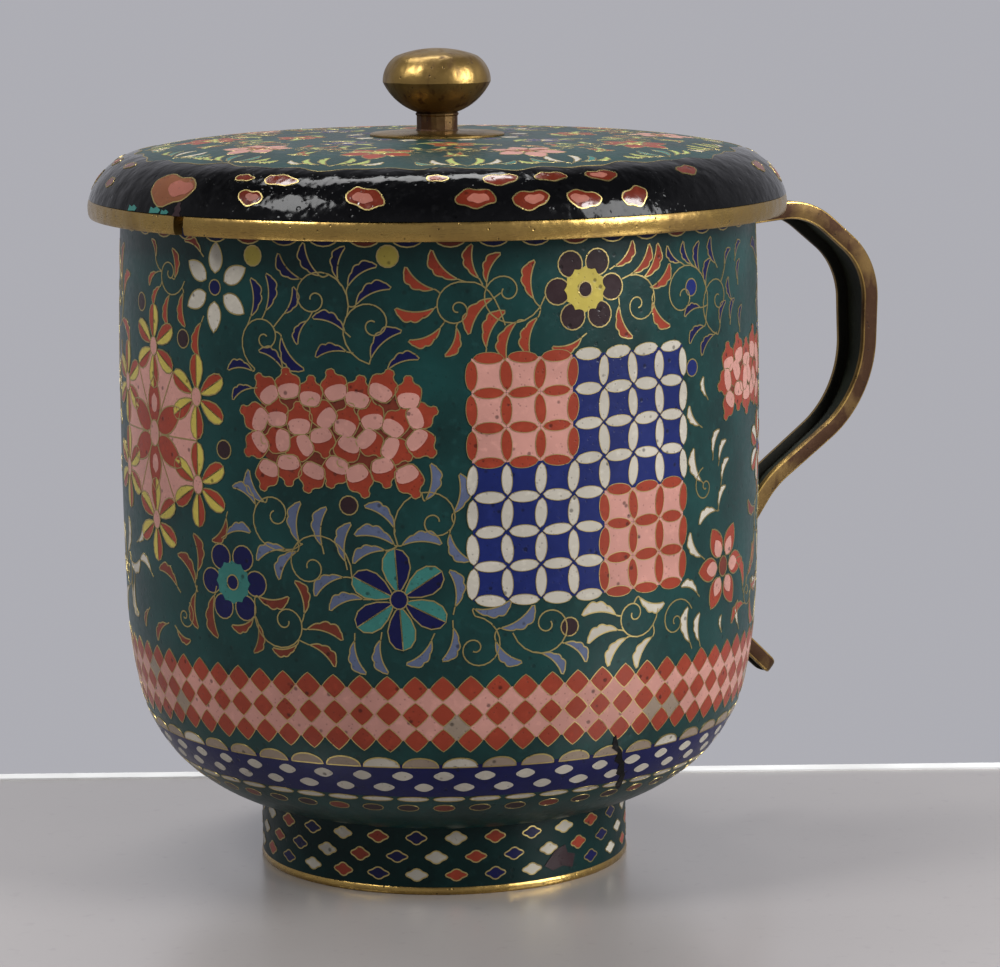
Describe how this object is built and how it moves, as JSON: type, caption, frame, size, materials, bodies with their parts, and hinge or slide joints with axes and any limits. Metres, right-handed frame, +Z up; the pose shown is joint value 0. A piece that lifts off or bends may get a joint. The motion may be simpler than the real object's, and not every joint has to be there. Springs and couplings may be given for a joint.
{
  "type": "lidded mug",
  "caption": "Round mug of enamelled copper with brass rims, an ear-shaped brass strap handle, a ring foot, and a loose domed lid lifted by a brass knob.",
  "frame": {"origin": "middle of the foot, on the plane the mug stands on", "axes": "+Z up along the axis of the mug; +X out of the wall through the middle of the handle"},
  "size_m": [0.1355, 0.1094, 0.128],
  "materials": {
    "copper": "satin copper sheet, dulled where it shows",
    "enamel_ground": "glossy opaque dark green enamel with small pits",
    "enamel_lid": "glossy opaque black enamel, green on the top",
    "enamel_lining": "glossy opaque plain enamel",
    "brass_rim": "worn gilt brass with brown patina",
    "brass_handle": "worn gilt brass, dark brown inside the channel",
    "brass_knob": "worn gilt brass, polished by handling",
    "brass_screw": "plain turned brass"
  },
  "bodies": {
    "mug": {"body_core": "copper", "body_enamel": "enamel_ground", "body_lining": "enamel_lining", "mouth_band": "brass_rim", "foot_ring": "copper", "foot_enamel": "enamel_ground", "foot_band": "brass_rim", "base_enamel": "enamel_lining", "handle_strap": "brass_handle", "upper_handle_pad": "brass_handle", "lower_handle_pad": "brass_handle"},
    "lid": {"lid_core": "copper", "lid_enamel": "enamel_lid", "lid_lining": "enamel_lining", "lid_band": "brass_rim", "lid_flange": "brass_rim", "knob_washer": "brass_knob", "knob_collar": "brass_knob", "knob_bottom": "brass_knob", "knob_top": "brass_knob", "knob_stud": "brass_screw", "knob_inner_washer": "brass_screw", "knob_nut": "brass_screw"}
  },
  "joints": [
    {"name": "lid_lift", "type": "slide", "parent": "mug", "child": "lid", "axis": [0, 0, 1], "range_m": [0, 0.06]}
  ]
}
